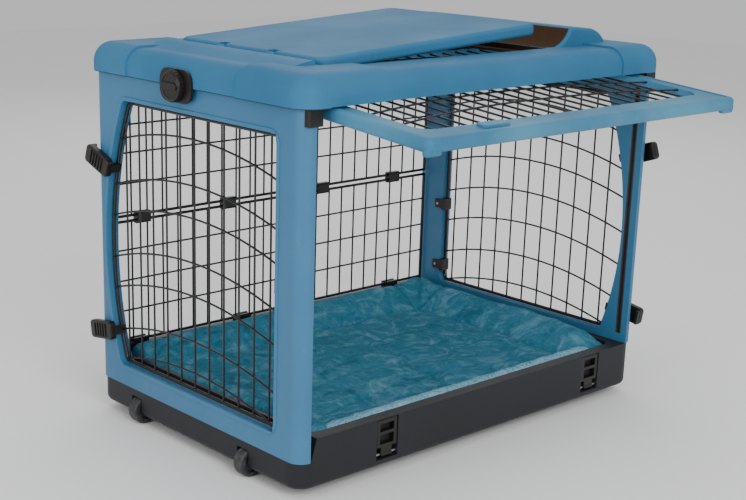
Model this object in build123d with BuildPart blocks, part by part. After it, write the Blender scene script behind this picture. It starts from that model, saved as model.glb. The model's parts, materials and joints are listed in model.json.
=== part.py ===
from build123d import *
from math import cos, radians, sin, sqrt
import os

os.makedirs("parts", exist_ok=True)

# Wire dog crate: moulded tray, two moulded end frames with wire doors, a folding wire back,
# a moulded roof with a top hatch, and a garage-style front door that tips up under the roof.
# Millimetres. x is the length, the front is -y, z is up and z = 0 is the floor.

# ---------------------------------------------------------------- driving dimensions
crate_length = 920
crate_width = 610
tray_bottom = 18  # ground clearance under the tray
low_wall_top = tray_bottom + 50.5  # tray wall under the left end frame
high_wall_top = tray_bottom + 92.5  # the other three tray walls
seam_z = tray_bottom + 654  # where the roof sits on the end frames
roof_top = tray_bottom + 704
half_length = crate_length / 2
half_width = crate_width / 2

frame_depth = 27  # thickness of an end frame along x
frame_corner = 26
frame_inner_x = half_length - frame_depth
opening_straight = -237  # hinge side of a door opening
opening_bulge = 272  # furthest reach of the curved latch side
opening_arc = 660
opening_arc_z = tray_bottom + 325
opening_top = tray_bottom + 607
opening_bottom = {-1: tray_bottom + 92, 1: tray_bottom + 108}
opening_corner = 18
swing_relief = 12  # hinge-side corners of the opening, cut back for the open door's rods
swing_depth = 18
lip_width = 8
lip_height = 2

rod_radius = 3.5
wire_radius = 1.9
weld = 0.6  # crossing wires are pressed together to this share of their diameters
door_gap = 5  # door rod centre to the edge of its opening
door_depth = 14  # door rod centre below the outer face of the frame
door_wire_pitch = 42.8
door_wire_first = -207
door_wire_count = 11
bow_radius = 825
bow_centre = 10
door_bows = {
    -1: (130, 190, 276, 338, 420, 479, 562),
    1: (147, 215, 290, 360, 431, 487, 558),
}
hinge_clip_z = {-1: (221, 367), 1: (166, 311)}
latches = {
    "upper": ((245, tray_bottom + 473), (316, tray_bottom + 498)),
    "lower": ((243, tray_bottom + 156), (314, tray_bottom + 145)),
}
latch_rod = {"upper": 5.3, "lower": 2.1}  # from a latch's inner end to the door rod under it
latch_lift = 0.4

fold_x = half_length - 13.5  # line the end frames fold about
fold_y = 284
fold_lug = 16
fold_pin_z = 8
fold_pin_radius = 4
fold_pin_ends = (268, 296)

tray_wall = 24
tray_end_wall = 48
tray_floor = 8
tray_corner = 34
wheel_radius = 27
wheel_width = 24
wheel_x = -446
wheel_ys = (-153, 178)
axle_radius = 4
wheel_pocket = 31  # radius of the pocket a wheel sits in
pocket_gap = 4  # beside the wheel
hub_radius = 10
hub_dish = 18
feet = ((0, 0), (395, -215), (395, 215))

recess_width = 52
recess_depth = 13
recess_bottom = tray_bottom + 14
recess_top = tray_bottom + 90
clip_centres = {"left": -252, "right": 320}
clip_pivot_y = -half_width + 6.5
clip_pivot_z = tray_bottom + 22
clip_pin_radius = 2.5
clip_barrel = 5.5
clip_foot = 13  # half length of a clip's barrel
clip_rim = 7
bed_corner = 24
bed_crest = 31  # high bolsters above the bed's base
bed_low_crest = 14

panel_y = 293
panel_half = 426
panel_wires = 23
panel_lower = (109, 173, 235, 297, 355)
panel_upper = (366, 430, 490, 545, 600, 640)
rail_top = high_wall_top + 10
panel_rod = 3  # radius of a back panel's border
fold_clip_xs = (-363, -150, 108, 323)
rail_clip_xs = (-375, -112, 325)

slope = 5  # tilt of the raised front door
track_bottom = tray_bottom + 110
guide_reach = 10  # how far a guide block stands in from its frame
pin_y = -284  # line of the front door's vertical tracks
door_pitch_length = 331.5  # guide pins to rollers, along the front door
roller_z = tray_bottom + 672
door_half = 405
door_thick = 24
door_below_pin = 242
door_above_roller = 6
door_rail = 40
catch_x = -230
pin_radius = 4
slide_gap = 0.3

hatch_tilt = 3.6
hatch_axis_x = -335
hatch_axis_z = tray_bottom + 707
hatch_left = hatch_axis_x - 3
hatch_right = 214
hatch_half = 203
hatch_thick = 23
recess_floor = tray_bottom + 694
recess_half = 213
recess_right = 228
hatch_pin_radius = 3
hatch_lug_ys = (-70, 70)
hatch_lug_radius = 8
hatch_hole = (505, 360, 40)  # length, width and corner of the hole under the hatch
roof_skin = 6
roof_corner = 40
roof_overhang = 8  # the roof's skirt stands this far out over the end frames
roof_edge = 34

roof_pin_radius = 2.5
knuckle_radius = 4.8
roof_hinge_xs = (-250, 250)
knob_y = 25
knob_radius = 27
knob_spindle = 8
knob_base = (92, 58, 22)  # width, height and corner
latch_width = 36
latch_thick = 13
latch_ribs = (-18, -9, 0, 9, 18)

hinge_axis_y = half_width + roof_overhang + 5.5
running = 0.05  # radial clearance of a pin in its hole


# ---------------------------------------------------------------- shared helpers
def end_plane(side, depth=0.0):
    """Plane in an end face: u runs from the hinge side to the latch side, v is up, normal inward."""
    return Plane(origin=(side * (half_length - depth), 0, 0), x_dir=(0, -side, 0), z_dir=(-side, 0, 0))


def finish(builder, name):
    """Name a finished piece and write it."""
    builder.part.label = name
    export_step(builder.part, f"parts/{name}.step")


def box_between(low, high, mode=Mode.ADD):
    """A box from its lowest to its highest corner, in the part being built."""
    size = [b - a for a, b in zip(low, high)]
    centre = [(a + b) / 2 for a, b in zip(low, high)]
    with Locations(tuple(centre)):
        Box(*size, mode=mode)


def rod_between(start, end, radius, mode=Mode.ADD):
    """A round rod between two points, in the part being built."""
    axis = Vector(*end) - Vector(*start)
    with BuildSketch(Plane(origin=start, z_dir=axis.normalized())) as section:
        Circle(radius)
    extrude(section.sketch, amount=axis.length, mode=mode)


def rounded_block(half_x, half_y, bottom, top, corner, edge):
    """A block with round upright corners and a rolled top edge."""
    with BuildPart() as block:
        with BuildSketch(Plane.XY.offset(bottom)):
            RectangleRounded(2 * half_x, 2 * half_y, corner)
        extrude(amount=top - bottom)
        if edge:
            fillet(block.faces().sort_by(Axis.Z)[-1].edges(), edge)
    return block.part


def opening_face(side, inset=0.0):
    """The D-shaped door opening in an end face's own plane, moved in by inset."""
    left = opening_straight + inset
    top = opening_top - inset
    bottom = opening_bottom[side] + inset
    radius = opening_arc - inset
    centre = opening_bulge - opening_arc

    def curve(v):
        return centre + sqrt(radius**2 - (v - opening_arc_z) ** 2)

    with BuildSketch() as outline:
        with BuildLine():
            Polyline((curve(bottom), bottom), (left, bottom), (left, top), (curve(top), top))
            ThreePointArc(
                (curve(top), top), (centre + radius, opening_arc_z), (curve(bottom), bottom)
            )
        make_face()
        fillet(outline.vertices(), opening_corner - min(inset, 8))
    return outline.sketch


# ---------------------------------------------------------------- tray and what it rolls on
def make_tray():
    with BuildPart() as tray:
        with BuildSketch(Plane.XY.offset(tray_bottom)):
            RectangleRounded(crate_length, crate_width, tray_corner)
        extrude(amount=high_wall_top - tray_bottom)
        fillet(tray.faces().sort_by(Axis.Z)[0].edges(), 12)
        # the well that holds the bed
        with BuildSketch(Plane.XY.offset(tray_bottom + tray_floor)):
            RectangleRounded(crate_length - 2 * tray_end_wall, crate_width - 2 * tray_wall, 20)
        extrude(amount=high_wall_top, mode=Mode.SUBTRACT)
        # the lower seat of the left end frame, with slanted shoulders at the front and back walls
        seat_edge = -frame_inner_x + 1
        with BuildSketch(Plane.XZ.offset(-half_width - 1)):
            with BuildLine():
                Polyline(
                    (-half_length - 5, low_wall_top),
                    (seat_edge, low_wall_top),
                    (seat_edge + 14, high_wall_top + 5),
                    (-half_length - 5, high_wall_top + 5),
                    close=True,
                )
            make_face()
        extrude(amount=crate_width + 2, both=True, mode=Mode.SUBTRACT)
        # lugs that take the end frames' fold pins
        for side in (-1, 1):
            seat = low_wall_top if side < 0 else high_wall_top
            for y in (-fold_y, fold_y):
                x = side * fold_x
                box_between((x - 7, y - 5, seat - 2), (x + 7, y + 5, seat + fold_lug))
        fold_holes(Mode.SUBTRACT)
        # wheel pockets in the left wall
        for y in wheel_ys:
            half = wheel_width / 2 + pocket_gap
            low = (wheel_x, y - half, wheel_radius)
            high = (wheel_x, y + half, wheel_radius)
            rod_between(low, high, wheel_pocket, Mode.SUBTRACT)
            box_between(
                (wheel_x - wheel_pocket, y - half, 0),
                (wheel_x + wheel_pocket, y + half, wheel_radius),
                Mode.SUBTRACT,
            )
            rod_between(
                (wheel_x, y - half - 14, wheel_radius), (wheel_x, y + half + 14, wheel_radius),
                axle_radius + running, Mode.SUBTRACT,
            )
        # clip recesses in the front wall
        for x in clip_centres.values():
            box_between(
                (x - recess_width / 2, -half_width - 1, recess_bottom),
                (x + recess_width / 2, -half_width + recess_depth, recess_top),
                Mode.SUBTRACT,
            )
            rod_between(
                (x - recess_width / 2 - 8, clip_pivot_y, clip_pivot_z),
                (x + recess_width / 2 + 8, clip_pivot_y, clip_pivot_z),
                clip_pin_radius + running, Mode.SUBTRACT,
            )
        # moulded feet
        for x, y in feet:
            with BuildSketch(Plane.XY):
                with Locations((x, y)):
                    RectangleRounded(70, 40, 12)
            extrude(amount=tray_bottom + 2, taper=-6)
    finish(tray, "tray")


def fold_holes(mode):
    """The pins, or their holes, that the end frames fold about: along y, low in each corner."""
    gap = running if mode == Mode.SUBTRACT else 0
    for side in (-1, 1):
        seat = low_wall_top if side < 0 else high_wall_top
        for end in (-1, 1):
            x = side * fold_x
            z = seat + fold_pin_z
            low, high = (end * y for y in fold_pin_ends)
            rod_between((x, low, z), (x, high, z), fold_pin_radius + gap, mode)


def make_fold_pins():
    with BuildPart() as pins:
        fold_holes(Mode.ADD)
    finish(pins, "fold_pins")


def make_wheels():
    for name, y in zip(("front", "back"), wheel_ys):
        half = wheel_width / 2
        with BuildPart() as wheel:
            rod_between((wheel_x, y - half, wheel_radius), (wheel_x, y + half, wheel_radius), wheel_radius)
            fillet(wheel.edges().filter_by(GeomType.CIRCLE), 4)
            for end in (-1, 1):
                rod_between(
                    (wheel_x, y + end * half, wheel_radius), (wheel_x, y + end * (half - 4), wheel_radius),
                    hub_dish, Mode.SUBTRACT,
                )
                rod_between(
                    (wheel_x, y + end * (half - 5), wheel_radius),
                    (wheel_x, y + end * (half + 1), wheel_radius), hub_radius,
                )
            rod_between(
                (wheel_x, y - half - 2, wheel_radius), (wheel_x, y + half + 2, wheel_radius),
                axle_radius + running, Mode.SUBTRACT,
            )
        finish(wheel, f"{name}_wheel")


def make_wheel_axles():
    with BuildPart() as axles:
        for y in wheel_ys:
            rod_between((wheel_x, y - 29, wheel_radius), (wheel_x, y + 29, wheel_radius), axle_radius)
    finish(axles, "wheel_axles")


def make_storage_clips():
    for name, x in clip_centres.items():
        half = recess_width / 2 - 2
        foot = clip_foot
        pivot_low = (x - foot, clip_pivot_y, clip_pivot_z)
        pivot_high = (x + foot, clip_pivot_y, clip_pivot_z)
        with BuildPart() as clip:
            # foot with its barrel round the pin
            rod_between(pivot_low, pivot_high, clip_barrel)
            box_between(
                (x - foot, clip_pivot_y - 4, clip_pivot_z), (x + foot, clip_pivot_y + 4, clip_pivot_z + 16)
            )
            box_between(
                (x - half, clip_pivot_y - 5, clip_pivot_z + 14), (x + half, clip_pivot_y + 5, recess_top - 2)
            )
            fillet(clip.edges().filter_by(Axis.Y), 2)
            # two finger windows
            for low, high in ((clip_pivot_z + 20, clip_pivot_z + 38), (clip_pivot_z + 44, recess_top - 9)):
                box_between(
                    (x - half + clip_rim, -half_width - 5, low),
                    (x + half - clip_rim, -half_width + 15, high),
                    Mode.SUBTRACT,
                )
            rod_between(
                (x - foot - 1, clip_pivot_y, clip_pivot_z), (x + foot + 1, clip_pivot_y, clip_pivot_z),
                clip_pin_radius + running, Mode.SUBTRACT,
            )
        finish(clip, f"{name}_storage_clip")


def make_clip_pins():
    with BuildPart() as pins:
        for x in clip_centres.values():
            reach = recess_width / 2 + 7
            low = (x - reach, clip_pivot_y, clip_pivot_z)
            high = (x + reach, clip_pivot_y, clip_pivot_z)
            rod_between(low, high, clip_pin_radius)
    finish(pins, "clip_pins")


def make_bed_pad():
    """Plush bed: base, high bolsters at the back and right, a low one at the left."""
    inner_x = half_length - tray_end_wall - 2
    inner_y = half_width - tray_wall - 2
    base_top = high_wall_top - 4
    floor = tray_bottom + tray_floor
    with BuildPart() as bed:
        with BuildSketch(Plane.XY.offset(floor)):
            RectangleRounded(2 * inner_x, 2 * inner_y, bed_corner)
        extrude(amount=base_top - floor)
        end_x = inner_x - 6
        box_between((-end_x, 195, base_top - 5), (end_x, inner_y - 8, base_top + bed_crest))
        box_between((295, -inner_y + 10, base_top - 5), (end_x, inner_y - 8, base_top + bed_crest))
        left_edge = -end_x + 80
        box_between((-end_x, -inner_y + 10, base_top - 5), (left_edge, inner_y - 8, base_top + bed_low_crest))
        fillet(bed.faces().group_by(Axis.Z)[-1].edges(), 12)
    finish(bed, "bed_pad")


# ---------------------------------------------------------------- end frames and wire doors
def make_end_frame(side, name):
    bottom = low_wall_top if side < 0 else high_wall_top
    opening = opening_face(side)
    lip = opening_face(side, -lip_width)
    with BuildPart() as frame:
        with BuildSketch(end_plane(side)):
            with Locations((0, (bottom + seam_z) / 2)):
                Rectangle(crate_width, seam_z - bottom)
        extrude(amount=frame_depth)
        outer_uprights = frame.edges().filter_by(Axis.Z).group_by(Axis.X)[0 if side < 0 else -1]
        fillet(outer_uprights, frame_corner)
        # raised lip round the opening, then the opening itself
        with BuildSketch(end_plane(side, -lip_height)):
            add(lip)
        extrude(amount=lip_height + 6)
        lip_face = frame.faces().sort_by(Axis.X)[0 if side < 0 else -1]
        fillet(lip_face.edges(), 1.5)
        with BuildSketch(end_plane(side, -5)):
            add(opening)
        extrude(amount=frame_depth + 10, mode=Mode.SUBTRACT)
        mouth = frame.faces().sort_by(Axis.X)[0 if side < 0 else -1].inner_wires()[0].edges()
        fillet(mouth, 2.5)
        # square reliefs in the hinge-side corners, where the open door's rods pass
        for v, step in ((opening_bottom[side], 1), (opening_top, -1)):
            with BuildSketch(end_plane(side, -5)):
                with Locations((opening_straight + swing_relief / 2, v + step * swing_relief / 2)):
                    Rectangle(swing_relief, swing_relief)
            extrude(amount=5 + swing_depth, mode=Mode.SUBTRACT)
        # slots for the tray's lugs, and their pins
        x = side * fold_x
        slot_top = bottom + fold_lug + 1
        low, high = fold_pin_ends
        for end in (-1, 1):
            y = end * fold_y
            box_between((x - 8, y - 6, bottom - 1), (x + 8, y + 6, slot_top), Mode.SUBTRACT)
            z = bottom + fold_pin_z
            hole = fold_pin_radius + running
            rod_between((x, end * (low - 1), z), (x, end * (high + 1), z), hole, Mode.SUBTRACT)
        # groove of the front door's track on the inner face, and the pocket of its guide block
        inner = side * frame_inner_x
        groove = sorted((inner + side * 9, inner - side))
        box_between(
            (groove[0], pin_y - 6.5, track_bottom), (groove[1], pin_y + 6.5, seam_z + 1), Mode.SUBTRACT
        )
        low, high = guide_block_box(side)
        box_between(low, (high[0], high[1], seam_z + 1), Mode.SUBTRACT)
    finish(frame, name)


def guide_block_box(side):
    """The corner box of a front post's guide block."""
    xs = sorted((side * (half_length - 7), side * (frame_inner_x - guide_reach)))
    return (xs[0], -half_width - 4, seam_z - 28), (xs[1], pin_y + 9, seam_z - 1)


def make_door_tracks():
    for side, name in ((-1, "left_door_track"), (1, "right_door_track")):
        inner = side * frame_inner_x
        outer = inner + side * 9
        xs = sorted((outer, inner))
        slot = sorted((outer - side * 1.5, inner - side))
        with BuildPart() as track:
            box_between((xs[0], pin_y - 6.5, track_bottom), (xs[1], pin_y + 6.5, seam_z - 28))
            gap = pin_radius + slide_gap
            low = (slot[0], pin_y - gap, track_bottom + 1)
            box_between(low, (slot[1], pin_y + gap, seam_z), Mode.SUBTRACT)
        finish(track, name)


def make_guide_blocks():
    for side, name in ((-1, "left_guide_block"), (1, "right_guide_block")):
        low, high = guide_block_box(side)
        inner = side * frame_inner_x
        slot = sorted((inner + side * 7.5, inner - side * (guide_reach + 2)))
        with BuildPart() as block:
            box_between(low, high)
            fillet(block.edges().filter_by(Axis.Z), 2)
            gap = pin_radius + slide_gap
            box_between(
                (slot[0], pin_y - gap, low[2] - 1), (slot[1], pin_y + gap, high[2] + 1), Mode.SUBTRACT
            )
        finish(block, name)


def make_wire_door(side, name):
    rim = opening_face(side, door_gap).face()
    uprights = []
    for index in range(door_wire_count):
        u = door_wire_first + index * door_wire_pitch
        uprights += (Line((u, 0), (u, seam_z)) & rim).edges()
    bows = []
    for peak in door_bows[side]:
        z = peak + tray_bottom
        reach = 300
        drop = bow_radius - sqrt(bow_radius**2 - reach**2)
        arc = ThreePointArc((bow_centre - reach, z - drop), (bow_centre, z), (bow_centre + reach, z - drop))
        bows += (arc & rim).edges()
    rod_plane = end_plane(side, door_depth)
    rod_path = (rod_plane * rim).outer_wire()
    top = rod_path.edges().sort_by(Axis.Z)[-1]
    with BuildPart() as door:
        with BuildSketch(Plane(origin=top @ 0.5, z_dir=top % 0.5)):
            Circle(rod_radius)
        sweep(path=rod_path)
        # upright wires lie towards the inside of the crate, bowed wires against them
        layers = ((uprights, 0.9), (bows, 0.9 - 2 * wire_radius * weld))
        for wires, offset in layers:
            layer = end_plane(side, door_depth + offset)
            for wire in wires:
                path = layer * wire
                with BuildSketch(Plane(origin=path @ 0, z_dir=path % 0)):
                    Circle(wire_radius)
                sweep(path=path)
    finish(door, name)


def make_door_hinges():
    """Black clips, screwed to the posts, that hold each door's straight rod."""
    for side, name in ((-1, "left_door_hinges"), (1, "right_door_hinges")):
        rod = opening_straight + door_gap
        with BuildPart() as hinges:
            for height in hinge_clip_z[side]:
                z = height
                with BuildSketch(end_plane(side, door_depth - 6)):
                    with Locations(((opening_straight + rod + 6.5) / 2, z)):
                        Rectangle(rod + 6.5 - opening_straight, 26)
                extrude(amount=frame_depth - door_depth + 6 + 4)
                with BuildSketch(end_plane(side, frame_depth)):
                    with Locations((opening_straight - 4, z)):
                        Rectangle(30, 20)
                extrude(amount=4)
                plane = end_plane(side, door_depth)
                rod_between(
                    (plane * Pos(rod, z - 14, 0)).position, (plane * Pos(rod, z + 14, 0)).position,
                    rod_radius + running, Mode.SUBTRACT,
                )
        finish(hinges, name)


def latch_plane(side, level, depth):
    """Plane along a latch: u runs outward from its inner end, w is into the crate."""
    (u0, v0), (u1, v1) = latches[level]
    base = end_plane(side, depth)
    origin = (base * Pos(u0, v0, 0)).position
    along = (base * Pos(u1, v1, 0)).position - origin
    return Plane(origin=origin, x_dir=along.normalized(), z_dir=(-side, 0, 0))


def latch_length(level):
    (u0, v0), (u1, v1) = latches[level]
    return sqrt((u1 - u0) ** 2 + (v1 - v0) ** 2)


def make_latches():
    for side, end in ((-1, "left"), (1, "right")):
        for level in latches:
            length = latch_length(level)
            bed = lip_height + latch_lift
            with BuildPart() as grip:
                with BuildSketch(latch_plane(side, level, -bed - latch_thick)):
                    with Locations((length / 2, 0)):
                        RectangleRounded(length, latch_width, 8)
                extrude(amount=latch_thick)
                fillet(grip.faces().sort_by(Axis.X)[0 if side < 0 else -1].edges(), 3)
                # finger ribs
                with BuildSketch(latch_plane(side, level, -bed - latch_thick - 2)):
                    with Locations([(length / 2 + step, 0) for step in latch_ribs]):
                        Rectangle(3, 26)
                extrude(amount=4)
                # lip over the outside edge of the frame
                with BuildSketch(latch_plane(side, level, -bed - 6)):
                    with Locations((length - 3, 0)):
                        Rectangle(5, 30)
                extrude(amount=14)
                # channel for the guide bar
                with BuildSketch(latch_plane(side, level, -bed - 5)):
                    with Locations((22, 0)):
                        Rectangle(52, 16.6)
                extrude(amount=10, mode=Mode.SUBTRACT)
            finish(grip, f"{end}_{level}_latch")


def make_latch_guides():
    """Guide bars gripping each door's curved rod, on which the latches slide."""
    for side, name in ((-1, "left_latch_guides"), (1, "right_latch_guides")):
        bed = lip_height + latch_lift
        with BuildPart() as guides:
            for level in latches:
                with BuildSketch(latch_plane(side, level, -bed - 4.6)):
                    with Locations((15, 0)):
                        Rectangle(34, 16)
                extrude(amount=4)
                with BuildSketch(latch_plane(side, level, -bed - 1)):
                    with Locations((latch_rod[level] - 1, 0)):
                        Rectangle(9, 16)
                extrude(amount=bed + 1 + door_depth + 4)
        finish(guides, name)


# ---------------------------------------------------------------- folding wire back
def make_wire_panel(name, levels):
    low = tray_bottom + levels[0]
    high = tray_bottom + levels[-1]
    with BuildPart() as panel:
        for z in (low, high):
            rod_between((-panel_half, panel_y, z), (panel_half, panel_y, z), panel_rod)
        for x in (-panel_half, panel_half):
            rod_between((x, panel_y, low), (x, panel_y, high), panel_rod)
            for z in (low, high):
                with Locations((x, panel_y, z)):
                    Sphere(panel_rod)
        pitch = 2 * panel_half / panel_wires
        for index in range(1, panel_wires):
            x = -panel_half + index * pitch
            rod_between((x, panel_y - 1, low), (x, panel_y - 1, high), wire_radius)
        for level in levels[1:-1]:
            z = tray_bottom + level
            rod_between((-panel_half, panel_y + 1.3, z), (panel_half, panel_y + 1.3, z), wire_radius)
    finish(panel, name)


def make_back_clips():
    """Clips joining the two back panels at the fold, and those holding the lower one to its rail."""
    low = tray_bottom + panel_lower[-1]
    high = tray_bottom + panel_upper[0]
    with BuildPart() as middle:
        for x in fold_clip_xs:
            box_between((x - 16, panel_y - 7.5, low - 6.5), (x + 16, panel_y + 7.5, high + 6.5))
        fillet(middle.edges().filter_by(Axis.X), 4)
        for z in (low, high):
            hole = panel_rod + running
            rod_between((-panel_half, panel_y, z), (panel_half, panel_y, z), hole, Mode.SUBTRACT)
        for index in range(1, panel_wires):
            x = -panel_half + index * 2 * panel_half / panel_wires
            for z0, z1 in ((low - 20, low), (high, high + 20)):
                rod_between((x, panel_y - 1, z0), (x, panel_y - 1, z1), wire_radius + 0.3, Mode.SUBTRACT)
    finish(middle, "back_fold_clips")

    bottom = tray_bottom + panel_lower[0]
    with BuildPart() as rail:
        box_between((-frame_inner_x + 1, 286, high_wall_top), (frame_inner_x - 1, 301, rail_top))
        for x in rail_clip_xs:
            box_between((x - 18, 284, rail_top - 6), (x + 18, 301, bottom + 5.5))
        hole = panel_rod + running
        rod_between((-frame_inner_x, panel_y, bottom), (frame_inner_x, panel_y, bottom), hole, Mode.SUBTRACT)
        box_between(
            (-panel_half - 4, panel_y - 3.1, bottom),
            (panel_half + 4, panel_y + 3.1, bottom + 8),
            Mode.SUBTRACT,
        )
    finish(rail, "back_rail")


# ---------------------------------------------------------------- roof
def roof_hump():
    """Raised rim of the roof beyond the hatch's free end."""
    rise = 36
    with BuildPart() as hump:
        with BuildSketch(Plane.XZ.offset(-recess_half)):
            with BuildLine():
                start = (232, roof_top - 8)
                foot = (248, roof_top - 1)
                crest = (300, roof_top + rise)
                top = (356, roof_top + rise - 4)
                end = (412, roof_top - 1)
                Line(start, foot)
                ThreePointArc(foot, (284, roof_top + 13), crest)
                Line(crest, top)
                ThreePointArc(top, (392, roof_top + 20), end)
                Line(end, (412, roof_top - 8))
                Line((412, roof_top - 8), start)
            make_face()
        extrude(amount=2 * recess_half)
        ridges = [edge for edge in hump.edges().filter_by(Axis.Y) if edge.center().Z > roof_top + 10]
        fillet(ridges, 8)
        ends = hump.faces().filter_by(Axis.Y).edges()
        fillet([edge for edge in ends if edge.center().Z > roof_top + 4], 6)
    return hump.part


def hatch_ramp():
    """Swell of the roof that leads up to the hatch's hinge end."""
    with BuildPart() as ramp:
        with BuildSketch(Plane.XZ.offset(-hatch_half)):
            with BuildLine():
                foot = (-424, roof_top - 1)
                middle = (-392, roof_top + 5)
                crest = (hatch_left - 13, roof_top + 11)
                Spline(foot, middle, crest, tangents=((1, 0), (1, 0)))
                Polyline(crest, (crest[0], roof_top - 4), (foot[0], roof_top - 4), foot)
            make_face()
        extrude(amount=2 * hatch_half)
        top = ramp.faces().sort_by(Axis.Z)[-1]
        fillet(top.edges().filter_by(Axis.Y).sort_by(Axis.X)[-1], 3)
    return ramp.part


def make_roof_shell():
    half_x = half_length + roof_overhang
    half_y = half_width + roof_overhang
    pads = (
        (-half_x - 10, -279, -half_y - 10, -139),
        (-half_x - 10, -303, 182, half_y + 10),
        (337, half_x + 10, -half_y - 10, -165),
        (337, half_x + 10, 165, half_y + 10),
    )
    outer = rounded_block(half_x, half_y, seam_z, roof_top, roof_corner, roof_edge)
    proud = rounded_block(half_x + 3, half_y + 3, seam_z, roof_top + 4, roof_corner + 3, roof_edge + 3)
    inner_top = roof_top - roof_skin
    inside = rounded_block(
        half_length - roof_skin, half_width - roof_skin, seam_z - 1, inner_top, roof_corner - roof_skin, 28
    )
    for x0, x1, y0, y1 in pads:
        outer += proud & Pos((x0 + x1) / 2, (y0 + y1) / 2, roof_top - 20) * Box(x1 - x0, y1 - y0, 120)
    outer += roof_hump()
    outer += hatch_ramp()
    with BuildPart() as roof:
        add(outer)
        add(inside, mode=Mode.SUBTRACT)
        # flange round the hatch recess, then the recess and the hole
        box_between(
            (hatch_left - 12 - roof_skin, -recess_half - roof_skin, recess_floor - 5),
            (recess_right + roof_skin, recess_half + roof_skin, roof_top - 3),
        )
        box_between(
            (hatch_left - 12, -recess_half, recess_floor),
            (recess_right, recess_half, roof_top + 60),
            Mode.SUBTRACT,
        )
        with BuildSketch(Plane.XY.offset(recess_floor - 8)):
            with Locations((-47.5, 0)):
                RectangleRounded(*hatch_hole)
        extrude(amount=20, mode=Mode.SUBTRACT)
        # room for the raised front door under the front skirt
        box_between(
            (-door_half - 8, -half_y - 5, seam_z - 2),
            (door_half + 8, -half_width + 10, seam_z + 2),
            Mode.SUBTRACT,
        )
        # lugs for the hatch pin
        for y in hatch_lug_ys:
            with BuildSketch(Plane.XZ.offset(-y - 10)):
                with BuildLine():
                    left = hatch_axis_x - hatch_lug_radius
                    right = hatch_axis_x + hatch_lug_radius
                    crown = (hatch_axis_x, hatch_axis_z + hatch_lug_radius)
                    foot_z = recess_floor - 1
                    Polyline((left, hatch_axis_z), (left, foot_z), (right, foot_z), (right, hatch_axis_z))
                    ThreePointArc((right, hatch_axis_z), crown, (left, hatch_axis_z))
                make_face()
            extrude(amount=20)
        hole = hatch_pin_radius + running
        rod_between((hatch_axis_x, -90, hatch_axis_z), (hatch_axis_x, 90, hatch_axis_z), hole, Mode.SUBTRACT)
    finish(roof, "roof_shell")


def hatch_frame():
    """Plane under the hatch at its hinge, tilted as the hatch stands ajar."""
    tilt = radians(hatch_tilt)
    drop = hatch_axis_z - recess_floor - 0.5
    origin = (hatch_axis_x + drop * sin(tilt), 0, hatch_axis_z - drop * cos(tilt))
    return Plane(origin=origin, x_dir=(cos(tilt), 0, sin(tilt)), z_dir=(-sin(tilt), 0, cos(tilt)))


def make_hatch():
    length = hatch_right - hatch_left
    with BuildPart() as hatch:
        with BuildSketch(hatch_frame()):
            with Locations((length / 2 + hatch_left - hatch_axis_x, 0)):
                RectangleRounded(length, 2 * hatch_half, 24)
        extrude(amount=hatch_thick)
        fillet(hatch.faces().sort_by(Axis.Z)[-1].edges(), 8)
        # notches round the roof's lugs
        for y in hatch_lug_ys:
            with BuildSketch(hatch_frame().offset(-2)):
                with Locations((0, y)):
                    Rectangle(27, 22)
            extrude(amount=hatch_thick + 4, mode=Mode.SUBTRACT)
        hole = hatch_pin_radius + running
        ends = [(hatch_axis_x, y, hatch_axis_z) for y in (-100, 100)]
        rod_between(*ends, hole, Mode.SUBTRACT)
    finish(hatch, "roof_hatch")


def make_hatch_pin():
    with BuildPart() as pin:
        rod_between((hatch_axis_x, -99, hatch_axis_z), (hatch_axis_x, 99, hatch_axis_z), hatch_pin_radius)
    finish(pin, "hatch_pin")


def make_knobs():
    for side, end in ((-1, "left"), (1, "right")):
        u = knob_y * -side
        with BuildPart() as base:
            with BuildSketch(end_plane(side, -roof_overhang - 4.4)):
                with Locations((u, seam_z + 2)):
                    RectangleRounded(*knob_base)
            extrude(amount=4)
            # feet: one on the roof's skirt, one down over the end frame
            with BuildSketch(end_plane(side, -roof_overhang - 2)):
                with Locations((u, seam_z + 12)):
                    Rectangle(60, 16)
            extrude(amount=2)
            with BuildSketch(end_plane(side, -roof_overhang - 2)):
                with Locations((u, seam_z - 12)):
                    RectangleRounded(70, 22, 8)
            extrude(amount=roof_overhang + 1.6)
            outer_end = end_plane(side, -roof_overhang - 6) * Pos(u, seam_z + 2, 0)
            inner_end = end_plane(side, 1) * Pos(u, seam_z + 2, 0)
            rod_between(outer_end.position, inner_end.position, knob_spindle + running, Mode.SUBTRACT)
        finish(base, f"{end}_knob_base")
        with BuildPart() as knob:
            with BuildSketch(end_plane(side, -roof_overhang - 17)):
                with Locations((u, seam_z + 2)):
                    Circle(knob_radius)
            extrude(amount=12)
            fillet(knob.faces().sort_by(Axis.X)[0 if side < 0 else -1].edges(), 4)
            # finger bar across the dial
            with BuildSketch(end_plane(side, -roof_overhang - 20)):
                with Locations((u, seam_z + 2)):
                    SlotOverall(46, 12)
            extrude(amount=5)
            with BuildSketch(end_plane(side, -roof_overhang - 6)):
                with Locations((u, seam_z + 2)):
                    Circle(knob_spindle)
            extrude(amount=5.4)
        finish(knob, f"{end}_roof_knob")


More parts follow.
